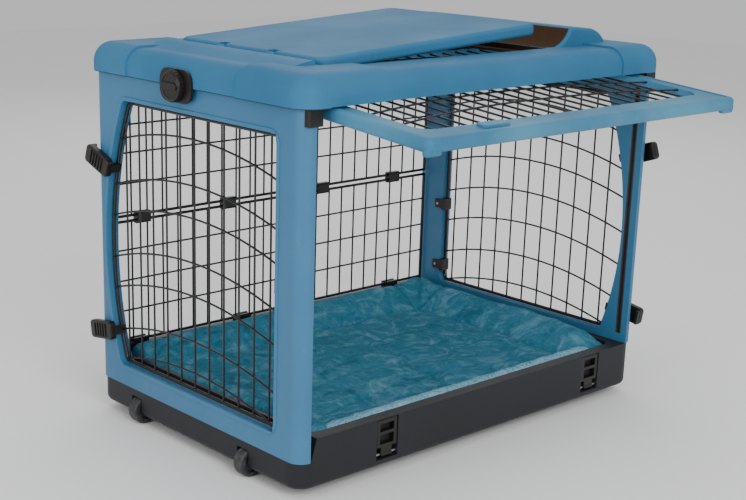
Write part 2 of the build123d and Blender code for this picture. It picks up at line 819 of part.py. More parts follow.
def make_roof_hinges():
    """Two hinges at the back: clips on the back panel's top rod, leaves on the roof, one pin each."""
    axis_y = hinge_axis_y
    rod_z = tray_bottom + panel_upper[-1]
    with BuildPart() as clips:
        for x in roof_hinge_xs:
            box_between((x - 20, panel_y - 6, rod_z - 6), (x + 20, axis_y + 4, rod_z + 6))
            for x0, x1 in ((x - 20, x - 7), (x + 7, x + 20)):
                box_between((x0, axis_y - 4, rod_z), (x1, axis_y + 4, seam_z))
                rod_between((x0, axis_y, seam_z), (x1, axis_y, seam_z), knuckle_radius)
            hole = roof_pin_radius + running
            rod_between((x - 21, axis_y, seam_z), (x + 21, axis_y, seam_z), hole, Mode.SUBTRACT)
    finish(clips, "roof_hinge_clips")
    with BuildPart() as leaves:
        for x in roof_hinge_xs:
            rod_between((x - 6.6, axis_y, seam_z), (x + 6.6, axis_y, seam_z), knuckle_radius)
            box_between((x - 6.6, axis_y - 5.5, seam_z + 2), (x + 6.6, axis_y + 2, seam_z + 16))
            hole = roof_pin_radius + running
            rod_between((x - 8, axis_y, seam_z), (x + 8, axis_y, seam_z), hole, Mode.SUBTRACT)
    finish(leaves, "roof_hinge_leaves")
    with BuildPart() as pins:
        for x in roof_hinge_xs:
            rod_between((x - 20, axis_y, seam_z), (x + 20, axis_y, seam_z), roof_pin_radius)
    finish(pins, "roof_hinge_pins")


def make_roof_tracks():
    """Channels under the roof in which the front door's rollers run."""
    for side, name in ((-1, "left_roof_track"), (1, "right_roof_track")):
        xs = sorted((side * (door_half + 4), side * (door_half + 20)))
        slot = sorted((side * (door_half + 3), side * (door_half + 17)))
        with BuildPart() as track:
            box_between((xs[0], pin_y - 7, roller_z - 8), (xs[1], pin_y + 350, roller_z + 8))
            box_between(
                (slot[0], pin_y - 5.5, roller_z - 5.3), (slot[1], pin_y + 343, roller_z + 5.3), Mode.SUBTRACT
            )
            hanger = roof_top - roof_skin
            for y in (pin_y + 60, pin_y + 200, pin_y + 330):
                box_between((xs[0], y - 8, roller_z + 7), (xs[1], y + 8, hanger))
        finish(track, name)


# ---------------------------------------------------------------- front door
def front_door_plane(lift=0.0):
    """Mid-plane of the raised front door: origin on the guide pins' line, y runs to the rollers."""
    tilt = radians(slope)
    normal = Vector(0, -sin(tilt), cos(tilt))
    origin = Vector(0, pin_y, roller_z - door_pitch_length * sin(tilt)) + normal * lift
    return Plane(origin=origin, x_dir=(1, 0, 0), z_dir=normal)


def door_point(x, v, lift=0.0):
    return (front_door_plane() * Pos(x, v, lift)).position


def make_front_door():
    length = door_below_pin + door_pitch_length + door_above_roller
    middle = (door_pitch_length + door_above_roller - door_below_pin) / 2
    inner_half = door_half - door_rail
    inner_low = -door_below_pin + 52
    inner_high = door_pitch_length - 30
    carrier_v = door_pitch_length / 2
    with BuildPart() as frame:
        with BuildSketch(front_door_plane(-door_thick / 2)):
            with Locations((0, middle)):
                RectangleRounded(2 * door_half, length, 12)
        extrude(amount=door_thick)
        fillet(frame.faces().sort_by(Axis.Z)[-1].edges(), 8)
        with BuildSketch(front_door_plane(-door_thick)):
            with Locations((0, (inner_low + inner_high) / 2)):
                RectangleRounded(2 * inner_half, inner_high - inner_low, 30)
        extrude(amount=2 * door_thick, mode=Mode.SUBTRACT)
        # the web inside the rim is thinner than the rim, from both sides
        for lift, depth in ((-door_thick / 2 - 1, 8), (door_thick / 2 - 1.5, 3)):
            with BuildSketch(front_door_plane(lift)):
                with Locations((0, middle)):
                    RectangleRounded(2 * door_half - 24, length - 24, 6)
            extrude(amount=depth, mode=Mode.SUBTRACT)
        # seat of the middle rod
        rod_between(
            door_point(-inner_half - 10, carrier_v), door_point(inner_half + 10, carrier_v),
            3 + running, Mode.SUBTRACT,
        )
    finish(frame, "front_door_frame")

    with BuildPart() as grid:
        lift = 3 + wire_radius + slide_gap
        pitch = 36.5
        for index in range(-9, 10):
            x = index * pitch
            rod_between(door_point(x, inner_low - 6, lift), door_point(x, inner_high + 6, lift), wire_radius)
        bow = 1400
        sag = (inner_half + 6) ** 2 / (2 * bow)
        for index in range(6):
            v = inner_low + 50 + index * 72
            with BuildLine(front_door_plane(lift + 2 * wire_radius * weld)) as line:
                ThreePointArc((-inner_half - 6, v), (0, v + sag), (inner_half + 6, v))
            with BuildSketch(Plane(origin=line.line @ 0, z_dir=line.line % 0)):
                Circle(wire_radius)
            sweep(path=line.line)
    finish(grid, "front_door_grid")

    with BuildPart() as rod:
        rod_between(
            door_point(-inner_half - 9, carrier_v), door_point(inner_half + 9, carrier_v), 3
        )
    finish(rod, "front_door_middle_rod")

    for name, v, radius, reach in (
        ("front_door_guide_pins", 0, pin_radius, frame_inner_x + 5.5),
        ("front_door_rollers", door_pitch_length, 5, door_half + 16),
    ):
        with BuildPart() as pins:
            for side in (-1, 1):
                rod_between(door_point(side * (door_half - 20), v), door_point(side * (door_half + 1), v), 3)
                rod_between(door_point(side * (door_half + 1), v), door_point(side * reach, v), radius)
        finish(pins, name)


def make_front_door_catch():
    """Thumb slide on the outer rail of the front door."""
    with BuildPart() as catch:
        with BuildSketch(front_door_plane(door_thick / 2 - 1.5 + 0.3)):
            with Locations((catch_x, -door_below_pin + 32)):
                RectangleRounded(62, 22, 6)
        extrude(amount=5)
        fillet(catch.faces().sort_by(Axis.Z)[-1].edges(), 2)
    finish(catch, "front_door_catch")


make_tray()
make_fold_pins()
make_wheels()
make_wheel_axles()
make_storage_clips()
make_clip_pins()
make_bed_pad()
make_end_frame(-1, "left_end_frame")
make_end_frame(1, "right_end_frame")
make_door_tracks()
make_guide_blocks()
make_wire_door(-1, "left_wire_door")
make_wire_door(1, "right_wire_door")
make_door_hinges()
make_latches()
make_latch_guides()
make_wire_panel("lower_back_panel", panel_lower)
make_wire_panel("upper_back_panel", panel_upper)
make_back_clips()
make_roof_shell()
make_hatch()
make_hatch_pin()
make_knobs()
make_roof_hinges()
make_roof_tracks()
make_front_door()
make_front_door_catch()
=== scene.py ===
import json
from math import cos, pi, radians, sin, sqrt

import bpy
import bmesh
from mathutils import Euler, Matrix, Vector, noise


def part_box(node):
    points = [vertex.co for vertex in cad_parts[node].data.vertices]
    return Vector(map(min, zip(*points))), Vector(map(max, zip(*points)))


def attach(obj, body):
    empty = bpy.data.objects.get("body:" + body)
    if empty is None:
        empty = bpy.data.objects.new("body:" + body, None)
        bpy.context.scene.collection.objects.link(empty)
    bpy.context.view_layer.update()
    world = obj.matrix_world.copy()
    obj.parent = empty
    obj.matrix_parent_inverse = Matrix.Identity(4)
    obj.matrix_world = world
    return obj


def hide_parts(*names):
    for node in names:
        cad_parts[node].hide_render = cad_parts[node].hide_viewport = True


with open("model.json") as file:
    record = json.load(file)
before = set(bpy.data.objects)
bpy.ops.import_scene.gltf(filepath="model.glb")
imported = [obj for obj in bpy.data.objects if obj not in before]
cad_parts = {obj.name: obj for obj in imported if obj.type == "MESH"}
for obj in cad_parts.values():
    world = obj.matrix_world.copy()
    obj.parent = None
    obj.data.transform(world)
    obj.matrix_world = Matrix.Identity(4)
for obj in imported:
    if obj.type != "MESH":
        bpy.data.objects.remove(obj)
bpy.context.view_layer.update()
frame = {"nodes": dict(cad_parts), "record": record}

bl_info = {
    "name": "Dog Crate",
    "version": (1, 0, 0),
    "blender": (4, 5, 0),
    "location": "3D View > Sidebar > Crate",
    "description": "Finishes, plush bed and small fittings of a moulded wire dog crate",
    "category": "Object",
}

NODES = frame["nodes"]

BED_LOW, BED_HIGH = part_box("bed_pad")
SMOOTH_ANGLE = radians(40)

# heights where the mouldings meet, and half the width of the painted shadow line along the roof's
# joint
TRAY_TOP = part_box("right_end_frame")[0].z
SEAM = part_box("left_end_frame")[1].z
SEAM_SHADOW_HALF_WIDTH = 0.0013
ROOF_TOP = SEAM + 0.050
ROOF_SKIN = 0.0006

# the recess that the hatch lies in, and the slope of the raised rim at its free end
RECESS_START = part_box("roof_hatch")[0].x - 0.014
RECESS_END = 0.2475
RECESS_HALF_WIDTH = 0.2135
RECESS_DEPTH = 0.0200
RIM_START, RIM_END = 0.2300, 0.2995
RIM_HALF_WIDTH = 0.2065

# the bed: its grid, and the right and low slopes' widths as shares of the back slope's
BED_COLUMNS, BED_ROWS = 250, 170
BED_TOP = TRAY_TOP - 0.011
RIGHT_SLOPE_SHARE = 1.05
LOW_SLOPE_SHARE = 0.72
OPEN_END_SHARE = 0.35
OPEN_END_START, OPEN_END_STOP = 0.004, 0.060
SLOPE_CREST = 0.36
SLOPE_FLOOR = 0.004
MITRE_DEPTH, MITRE_REACH = 0.006, 0.012
HIGH_SEAM_DEPTH, LOW_SEAM_DEPTH, SEAM_REACH = 0.007, 0.004, 0.014
EDGE_ROLL, EDGE_REACH = 0.016, 0.022
CROWN = 0.007
LUMPS = ((0.0036, 8, 3), (0.0022, 21, 8), (0.0009, 55, 5))
FOLD_DEPTH = 0.0030
CHANNEL_PLACES = (-0.20, 0.02)
CHANNEL_DEPTH, CHANNEL_REACH = 0.0035, 0.016

# the fleece band along the bed's open edge
BAND_WIDTH = 0.026
BAND_SUNK = 0.030
BAND_STEP = 0.005
BAND_END = 0.045
BAND_SIDES = 28

# the roof knobs' rims, the hinge clips' screws and the front door's turned-down corners
RIB_COUNT, RIB_RADIUS, RIB_LENGTH, RIB_INSET = 28, 0.0013, 0.009, 0.0068
RING_SHARE, RING_RADIUS, RING_INSET = 0.80, 0.0013, 0.0002
KNOB_FACE_INSET = 0.003
SCREW_HEIGHT, SCREW_EDGE = 0.0016, 0.0004
SCREW_FROM_SIDE, SCREW_FROM_END = 0.009, 0.013
CORNER_LENGTH, CORNER_ROLL = 0.034, 0.0045
CORNER_BACK, CORNER_FRONT = 0.0165, 0.0035
CORNER_DROP, CORNER_RISE = 0.0065, 0.010
DOOR_TILT = radians(5)

# the camera, and the lamps by name, place, power and width
CAMERA_PLACE = (-1.8911, -1.9649, 1.0041)
CAMERA_TURN = (73.708, -1.233, -41.396)
CAMERA_LENS = 67.7
CAMERA_SHIFT = (0.0647, 0.0669)
FLOOR_SIZE = 14
STUDIO_GLOW = 0.62
LAMP_AIM = Vector((0, 0, 0.35))
LAMPS = (
    ("key", (-1.2, -3.4, 2.2), 88, 2.0),
    ("fill", (-3.6, -0.4, 1.4), 40, 2.2),
    ("top", (0.4, 0.6, 3.4), 22, 2.6),
    ("back", (2.4, 2.6, 2.2), 18, 2.0),
)


# ------------------------------------------------------------------ settings
def length(label, text, default):
    """A length that a user can change."""
    return bpy.props.FloatProperty(name=label, description=text, default=default, unit="LENGTH")


def colour(label, text, default):
    """A colour that a user can change."""
    return bpy.props.FloatVectorProperty(
        name=label, description=text, default=default, size=3, subtype="COLOR", min=0, max=1
    )


class CrateColours(bpy.types.PropertyGroup):
    """Paint and fabric colours, scene linear."""

    shell: colour("Shell", "Blue of the moulded frames and roof", (0.042, 0.172, 0.320))
    shell_deep: colour("Shell shade", "Blue where the moulding is denser", (0.032, 0.145, 0.275))
    door: colour("Front door", "Blue of the tip-up front door", (0.075, 0.255, 0.385))
    # painted shade: a dark brown laid into the recess under the hatch and on the raised rim's
    # slope, where shade falls
    hollow_shade: colour("Hollow shade", "Brown of the hollow under the hatch", (0.034, 0.018, 0.009))
    tray: colour("Tray", "Charcoal of the tray", (0.013, 0.0135, 0.0165))
    fitting: colour("Fittings", "Black of the clips, latches and knobs", (0.008, 0.007, 0.006))
    wire: colour("Wire", "Coating of the wires", (0.003, 0.003, 0.003))
    pile: colour("Pile", "Plush pile seen square on", (0.040, 0.185, 0.275))
    pile_dark: colour("Pile shade", "Plush pile stroked away", (0.014, 0.088, 0.150))
    pile_light: colour("Pile sheen", "Plush pile stroked towards the light", (0.190, 0.420, 0.540))
    fleece: colour("Fleece", "Fleece band at the bed's open edge", (0.210, 0.430, 0.560))


class CrateSizes(bpy.types.PropertyGroup):
    """Sizes of the soft and small pieces."""

    slope_width: length("Slope width", "Width of the back slope", 0.104)
    slope_height: length("Slope height", "Height of the high slopes above the bed", 0.036)
    low_slope_height: length("Low slope height", "Height of the low slope above the bed", 0.017)
    band_height: length("Band height", "Height of the fleece band along the front", 0.020)
    screw_radius: length("Screw radius", "Head radius of the hinge clip screws", 0.0032)


# ------------------------------------------------------------------ shader maths
class Value:
    """A socket in a node tree, with arithmetic that adds Math nodes."""

    def __init__(self, graph, socket):
        self.graph = graph
        self.socket = socket

    def _math(self, operation, *values):
        inputs = dict(enumerate(values))
        return self.graph.add("ShaderNodeMath", {"operation": operation}, inputs)

    def __add__(self, other):
        return self._math("ADD", self, other)

    def __sub__(self, other):
        return self._math("SUBTRACT", self, other)

    def __rsub__(self, other):
        return self._math("SUBTRACT", other, self)

    def __mul__(self, other):
        return self._math("MULTIPLY", self, other)

    __radd__ = __add__
    __rmul__ = __mul__

    def over(self, edge):
        """1 above an edge, 0 below it."""
        return self._math("GREATER_THAN", self, edge)

    def under(self, edge):
        """1 below an edge, 0 above it."""
        return self._math("LESS_THAN", self, edge)

    def size(self):
        """The value without its sign."""
        return self._math("ABSOLUTE", self)

    def clamp(self):
        """The value kept between 0 and 1."""
        return self.graph.add("ShaderNodeClamp", {}, {"Value": self})


class Finish:
    """A procedural material being built, with its shader."""

    def __init__(self, name):
        self.material = bpy.data.materials.new(name)
        self.material.use_nodes = True
        self.tree = self.material.node_tree
        self.shader = self.tree.nodes["Principled BSDF"]
        self.place = self.add("ShaderNodeTexCoord", {}, {}, "Object")

    def add(self, kind, settings, inputs, output=0):
        """Adds a node: its settings first, then its sockets' values or links."""
        node = self.tree.nodes.new(kind)
        for key, value in settings.items():
            setattr(node, key, value)
        for key, value in inputs.items():
            self.feed(node.inputs[key], value)
        return Value(self, node.outputs[output])

    def feed(self, socket, value):
        """Links a value to a socket, or sets the socket's own number or colour."""
        if isinstance(value, Value):
            self.tree.links.new(value.socket, socket)
        elif socket.type == "RGBA":
            socket.default_value = (*value, 1)
        else:
            socket.default_value = value

    def stretched(self, scale, turn=(0, 0, 0)):
        """Object coordinates, turned and stretched."""
        inputs = {"Vector": self.place, "Rotation": turn, "Scale": scale}
        return self.add("ShaderNodeMapping", {}, inputs)

    def noise(self, scale, detail=3.0, roughness=0.55, distortion=0.0, vector=None):
        """Cloudy noise over the piece, or over a stretched vector."""
        inputs = {
            "Vector": vector or self.place, "Scale": scale, "Detail": detail,
            "Roughness": roughness, "Distortion": distortion,
        }
        return self.add("ShaderNodeTexNoise", {}, inputs)

    def spread(self, value, low, high):
        """Stretches a narrow range of a value to 0 to 1."""
        inputs = {"Value": value, "From Min": low, "From Max": high}
        return self.add("ShaderNodeMapRange", {"clamp": True}, inputs)

    def mix(self, factor, first, second):
        """Mixes two colours."""
        inputs = {0: factor, 6: first, 7: second}
        return self.add("ShaderNodeMix", {"data_type": "RGBA"}, inputs, 2)

    def axis(self, letter):
        """One of the piece's own coordinates."""
        return self.add("ShaderNodeSeparateXYZ", {}, {"Vector": self.place}, letter)

    def bump(self, height, distance, strength, normal=None):
        """A normal with relief on it, over the relief of another normal if one is given."""
        inputs = {"Height": height, "Distance": distance, "Strength": strength}
        if normal:
            inputs["Normal"] = normal
        return self.add("ShaderNodeBump", {}, inputs)

    def done(self, **sockets):
        """Sets or links the shader's sockets by name, with underscores for spaces."""
        for key, value in sockets.items():
            self.feed(self.shader.inputs[key.replace("_", " ")], value)
        return self.material


def toned(tint, times, lift=0.0):
    """A colour made lighter or darker."""
    return tuple(min(1, part * times + lift) for part in tint)


def moulding(name, first, second, grain=900.0, gloss=0.42, hollow_shade=None, seam=False, shine=0.4):
    """Grained moulded plastic: slow colour drift, fine texture and rubbed patches."""
    finish = Finish(name)
    drift = finish.spread(finish.noise(3.2, 4), 0.35, 0.65)
    base = finish.mix(drift, first, second)
    rubbed = finish.spread(finish.noise(26, 5, 0.7, 0.8), 0.60, 0.76)
    base = finish.mix(rubbed * 0.16, base, toned(first, 1.5, 0.03))
    scuff_lines = finish.noise(60, 4, 0.75, 0.2, finish.stretched((0.25, 1, 2.4)))
    scuffs = finish.spread(scuff_lines, 0.68, 0.76)
    base = finish.mix(scuffs * 0.18, base, toned(first, 1.7, 0.05))
    rough = gloss + 0.10 * drift + 0.14 * scuffs
    if seam:
        # painted shadow: a dark band along the joint between the end frames and the roof, where
        # shade falls in the gap
        line = (finish.axis("Z") - SEAM).size().under(SEAM_SHADOW_HALF_WIDTH)
        base = finish.mix(line * 0.85, base, (0.020, 0.030, 0.035))
    if hollow_shade is not None:
        # painted shade in the hollow round the hatch: inside the recess and on the slope of the
        # raised rim
        x, y, z = finish.axis("X"), finish.axis("Y").size(), finish.axis("Z")
        inside = x.over(RECESS_START) * x.under(RECESS_END) * y.under(RECESS_HALF_WIDTH)
        deep = z.under(ROOF_TOP - ROOF_SKIN) * z.over(ROOF_TOP - RECESS_DEPTH)
        slope = x.over(RIM_START) * x.under(RIM_END) * y.under(RIM_HALF_WIDTH)
        hollow = (inside * deep + slope * z.over(ROOF_TOP - ROOF_SKIN)).clamp()
        hollow_shade_mottle = finish.mix(finish.noise(14, 3), hollow_shade, toned(hollow_shade, 1.9))
        base = finish.mix(hollow, base, hollow_shade_mottle)
        rough = rough + 0.25 * hollow
    peel = finish.noise(140, 2)
    fine = finish.noise(grain, 2, 0.5)
    normal = finish.bump(fine, 0.00025, 0.55, finish.bump(peel, 0.0006, 0.25))
    return finish.done(Base_Color=base, Roughness=rough, Normal=normal, Specular_IOR_Level=shine)


def wire_coating(name, tint):
    """Dipped black coating: glossy, with slow runs and a few dull spots."""
    finish = Finish(name)
    runs = finish.noise(220, 2)
    dull = finish.spread(finish.noise(75, 3), 0.5, 0.7)
    base = finish.mix(dull * 0.5, tint, toned(tint, 2.6))
    normal = finish.bump(runs, 0.0005, 0.35)
    return finish.done(Base_Color=base, Roughness=0.28 + 0.2 * dull, Normal=normal)


def drawn_steel(name):
    """Zinc-plated pin steel with draw lines along its length."""
    finish = Finish(name)
    lines = finish.noise(400, 2, 0.5, 0.0, finish.stretched((0.05, 1, 1)))
    tint = finish.mix(finish.noise(60, 3), (0.34, 0.34, 0.35), (0.52, 0.52, 0.52))
    normal = finish.bump(lines, 0.0002, 0.4)
    return finish.done(Base_Color=tint, Roughness=0.3 + 0.15 * lines, Metallic=1.0, Normal=normal)


def tyre_rubber(name):
    """Matt grey-black rubber with pale dust on it."""
    finish = Finish(name)
    dust = finish.spread(finish.noise(90, 4), 0.5, 0.75)
    tint = finish.mix(dust, (0.022, 0.023, 0.028), (0.075, 0.073, 0.070))
    normal = finish.bump(finish.noise(700, 2), 0.0003, 0.5)
    return finish.done(Base_Color=tint, Roughness=0.55 + 0.25 * dust, Normal=normal)


def plush_pile(name, mid, dark, light):
    """Short pile plush: stroked patches that turn dark and pale, and a fine hairy nap."""
    finish = Finish(name)
    strokes = finish.noise(11, 5, 0.62, 1.9, finish.stretched((1, 1.5, 1), turn=(0, 0, 0.5)))
    pale = finish.spread(strokes, 0.52, 0.72)
    deep = finish.spread(strokes, 0.46, 0.26)
    licks = finish.spread(finish.noise(48, 4, 0.7, 1.1, finish.stretched((1, 0.55, 1))), 0.50, 0.74)
    tint = finish.mix(deep * 0.95, mid, dark)
    tint = finish.mix((pale * 0.62 + licks * 0.34).clamp(), tint, light)
    hairs = finish.noise(900, 3, 0.7, 0.6, finish.stretched((1, 0.35, 1)))
    tufts = finish.noise(150, 4, 0.65, 0.7)
    tint = finish.mix(finish.spread(hairs, 0.3, 0.7) * 0.22, tint, dark)
    swells = finish.bump(strokes, 0.010, 0.35)
    normal = finish.bump(hairs, 0.0012, 0.75, finish.bump(tufts, 0.0035, 0.55, swells))
    return finish.done(Base_Color=tint, Roughness=0.95, Normal=normal, Specular_IOR_Level=0.12)


def fleece_curls(name, tint, shade):
    """Curly fleece: small pale tufts with darker gaps."""
    finish = Finish(name)
    curls = finish.add("ShaderNodeTexVoronoi", {}, {"Vector": finish.place, "Scale": 210.0})
    patches = finish.noise(40, 4, 0.6)
    gap = finish.spread(curls, 0.35, 0.75)
    tone = finish.mix(gap * 0.55, tint, shade)
    tone = finish.mix(finish.spread(patches, 0.5, 0.75) * 0.35, tone, (0.62, 0.78, 0.85))
    normal = finish.bump(1 - curls, 0.003, 0.8, finish.bump(finish.noise(700, 3), 0.001, 0.6))
    return finish.done(Base_Color=tone, Roughness=0.95, Normal=normal, Specular_IOR_Level=0.15)


# ------------------------------------------------------------------ shared making
def finish_of(name):
    """A finish made earlier, by its name."""
    found = bpy.data.materials.get(name)
    if found is None:
        raise RuntimeError(f"the finish {name} isn't made yet")
    return found


def deselect():
    """Leaves edit mode and selects nothing."""
    if bpy.context.object and bpy.context.object.mode != "OBJECT":
        bpy.ops.object.mode_set(mode="OBJECT")
    bpy.ops.object.select_all(action="DESELECT")


def pick(piece):
    """Selects one piece and makes it the active one."""
    deselect()
    piece.select_set(True)
    bpy.context.view_layer.objects.active = piece


def settle(piece, name, body, material):
    """Names a piece, bakes its place into its mesh, gives it a finish and a body to ride on."""
    pick(piece)
    bpy.ops.object.transform_apply(location=True, rotation=True, scale=True)
    piece.name = name
    piece.data.name = name
    piece.data.materials.clear()
    piece.data.materials.append(finish_of(material))
    bpy.ops.object.shade_smooth_by_angle(angle=SMOOTH_ANGLE)
    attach(piece, body)
    return piece


def join(pieces):
    """Joins like pieces into the first one."""
    deselect()
    for piece in pieces:
        piece.select_set(True)
    bpy.context.view_layer.objects.active = pieces[0]
    bpy.ops.object.join()
    return pieces[0]


def roll_edges(offset, segments):
    """Bevels every edge of the active piece."""
    bpy.ops.object.mode_set(mode="EDIT")
    bpy.ops.mesh.select_all(action="SELECT")
    bpy.ops.mesh.bevel(offset=offset, segments=segments, affect="EDGES")
    bpy.ops.object.mode_set(mode="OBJECT")


def rounded_box(low, high, bevel, segments):
    """A box between two corners with rolled edges."""
    deselect()
    bpy.ops.mesh.primitive_cube_add(size=1, location=(low + high) / 2)
    piece = bpy.context.object
    piece.scale = high - low
    bpy.ops.object.transform_apply(location=False, rotation=False, scale=True)
    roll_edges(bevel, segments)
    return piece


def ripple(point, scale, seed):
    """Smooth repeatable unevenness from -1 to 1 at a point."""
    return noise.noise(Vector(point) * scale + Vector((seed, seed * 0.37, 0)))


def smooth_step(value, low, high):
    """0 below a range, 1 above it, and an easy slope between."""
    share = min(1.0, max(0.0, (value - low) / (high - low)))
    return share * share * (3 - 2 * share)


def dome(share):
    """A quarter round: 0 at an edge, 1 from a whole share inwards."""
    return sqrt(max(0.0, 1 - (1 - min(1, share)) ** 2))


def groove(distance, depth, reach, power):
    """Depth of a soft groove at a distance from its middle."""
    return depth * max(0.0, 1 - abs(distance) / reach) ** power


# ------------------------------------------------------------------ soft pieces
def slope_height(distance, width, height):
    """A stuffed slope across its width: steep outside, crested, easing down to its seam."""
    share = distance / width
    if share <= 0 or share >= 1:
        return 0.0
    if share < SLOPE_CREST:
        return height * sqrt(max(0.0, 1 - ((SLOPE_CREST - share) / SLOPE_CREST) ** 2.4))
    return height * (1 - smooth_step(share, SLOPE_CREST, 1.0)) ** 0.85


def bed_height(x, y, size):
    """Height of the bed's top at a place in the tray."""
    back_width, tall = size.slope_width, size.slope_height
    right_width, low_width = back_width * RIGHT_SLOPE_SHARE, back_width * LOW_SLOPE_SHARE
    wobble = 0.005 * ripple((x, y, 0), 6, 17)
    to_back, to_right = BED_HIGH.y - y, BED_HIGH.x - x
    to_left, to_front = x - BED_LOW.x, y - BED_LOW.y

    # the right slope tapers down to the open front edge
    end = smooth_step(to_front, OPEN_END_START, OPEN_END_STOP)
    right_tall = tall * (OPEN_END_SHARE + (1 - OPEN_END_SHARE) * end)
    back = slope_height(to_back + wobble, back_width, tall)
    right = slope_height(to_right - wobble, right_width, right_tall)
    left = slope_height(to_left, low_width, size.low_slope_height)
    rise = (back**6 + right**6 + left**6) ** (1 / 6)

    # where two slopes meet, the mitre seam pulls the corner in
    if to_back < back_width and min(to_right, to_left) < back_width:
        mitre = min(abs(to_back - to_right), abs(to_back - to_left) + (0 if left else 1))
        rise -= groove(mitre, MITRE_DEPTH, MITRE_REACH, 1.4)
    seam = max(
        groove(to_back - back_width + wobble, HIGH_SEAM_DEPTH, SEAM_REACH, 1.3),
        groove(to_right - right_width + wobble, HIGH_SEAM_DEPTH, SEAM_REACH, 1.3),
        groove(to_left - low_width + wobble, LOW_SEAM_DEPTH, SEAM_REACH, 1.3),
    )
    roll = EDGE_ROLL * (1 - dome(min(to_back, to_right, to_left, to_front) / EDGE_REACH))
    crown = CROWN * (1 - (x / BED_HIGH.x) ** 2) * (1 - (y / BED_HIGH.y) ** 2)
    lumps = sum(depth * ripple((x, y, 0), scale, seed) for depth, scale, seed in LUMPS)
    top = BED_TOP + rise - seam - roll + crown + lumps

    # folds and the sewn channels across the base stop where the slopes begin
    if rise <= SLOPE_FLOOR:
        top -= FOLD_DEPTH * max(0.0, 1 - abs(ripple((x * 0.6, y * 1.5, 0), 6, 21)) * 8)
        top -= max(
            groove(x - place - 0.3 * wobble, CHANNEL_DEPTH, CHANNEL_REACH, 1.5)
            for place in CHANNEL_PLACES
        )
    return min(BED_HIGH.z + 0.004, top)


def stuffed_roll(name, start, finish, width, height, seed, material):
    """A stuffed roll between two places: round ends and uneven filling."""
    whole = (finish - start).length
    steps = round(whole / BAND_STEP)
    along = (finish - start).normalized()
    across = Vector((along.y, -along.x, 0))
    form = bmesh.new()
    rows = []
    for step in range(steps + 1):
        point = start.lerp(finish, step / steps)
        walked = whole * step / steps
        taper = dome(min(walked, whole - walked) / BAND_END) * 0.98 + 0.02
        swell = 1 + 0.05 * ripple(point, 11, seed)
        row = []
        for side_step in range(BAND_SIDES):
            turn = 2 * pi * side_step / BAND_SIDES
            side = abs(cos(turn)) ** 0.9 * (1 if cos(turn) > 0 else -1)
            lift = abs(sin(turn)) ** 0.85 * (1 if sin(turn) > 0 else -1)
            reach = width / 2 * side * taper * swell
            rise = height * lift * taper * swell if lift > 0 else BAND_SUNK * lift * taper
            spot = point + across * reach + Vector((0, 0, rise))
            if lift > -0.2:
                spot.z += 0.0020 * ripple(spot, 24, seed + 5) + 0.0010 * ripple(spot, 60, seed + 9)
            row.append(form.verts.new(spot))
        rows.append(row)
    for first, second in zip(rows, rows[1:]):
        for here in range(BAND_SIDES):
            there = (here + 1) % BAND_SIDES
            form.faces.new((first[here], first[there], second[there], second[here]))
    form.faces.new(rows[0])
    form.faces.new(list(reversed(rows[-1])))
    bmesh.ops.recalc_face_normals(form, faces=form.faces)
    mesh = bpy.data.meshes.new(name)
    form.to_mesh(mesh)
    form.free()
    piece = bpy.data.objects.new(name, mesh)
    bpy.context.scene.collection.objects.link(piece)
    return settle(piece, name, "base", material)


# ------------------------------------------------------------------ operators
class CRATE_OT_finishes(bpy.types.Operator):
    """Makes the finishes and gives them to the moulded, wire and metal parts"""

    bl_idname = "crate.finishes"
    bl_label = "Finishes"
    bl_options = {"REGISTER", "UNDO"}

    def execute(self, context):
        tints = context.scene.crate_colours
        shell, deep = tints.shell, tints.shell_deep
        moulding("blue shell", shell, deep, seam=True)
        moulding("blue roof", shell, deep, gloss=0.56, hollow_shade=tints.hollow_shade, seam=True, shine=0.12)
        moulding("blue hatch", shell, deep, gloss=0.56, shine=0.12)
        moulding("blue front door", tints.door, deep, gloss=0.44, shine=0.2)
        moulding("charcoal tray", tints.tray, toned(tints.tray, 1.35), 620, 0.46, shine=0.3)
        moulding("black fitting", tints.fitting, toned(tints.fitting, 1.5), 1100, 0.34)
        moulding("grey track", (0.060, 0.058, 0.058), (0.035, 0.035, 0.036), 800, 0.5)
        wire_coating("wire coating", tints.wire)
        drawn_steel("pin steel")
        tyre_rubber("wheel rubber")
        plush_pile("plush pile", tints.pile, tints.pile_dark, tints.pile_light)
        fleece_curls("fleece", tints.fleece, tints.pile)
        by_slot = {
            "blue_shell": "blue shell",
            "blue_door": "blue front door",
            "tray_plastic": "charcoal tray",
            "black_plastic": "black fitting",
            "track_plastic": "grey track",
            "coated_wire": "wire coating",
            "steel_pin": "pin steel",
            "wheel_rubber": "wheel rubber",
            "plush": "plush pile",
        }
        by_node = {"roof_shell": "blue roof", "roof_hatch": "blue hatch"}
        for row in frame["record"]["subparts"]:
            material = finish_of(by_node.get(row["node"], by_slot[row["material_slot"]]))
            for place in NODES[row["node"]].material_slots:
                place.material = material
        return {"FINISHED"}


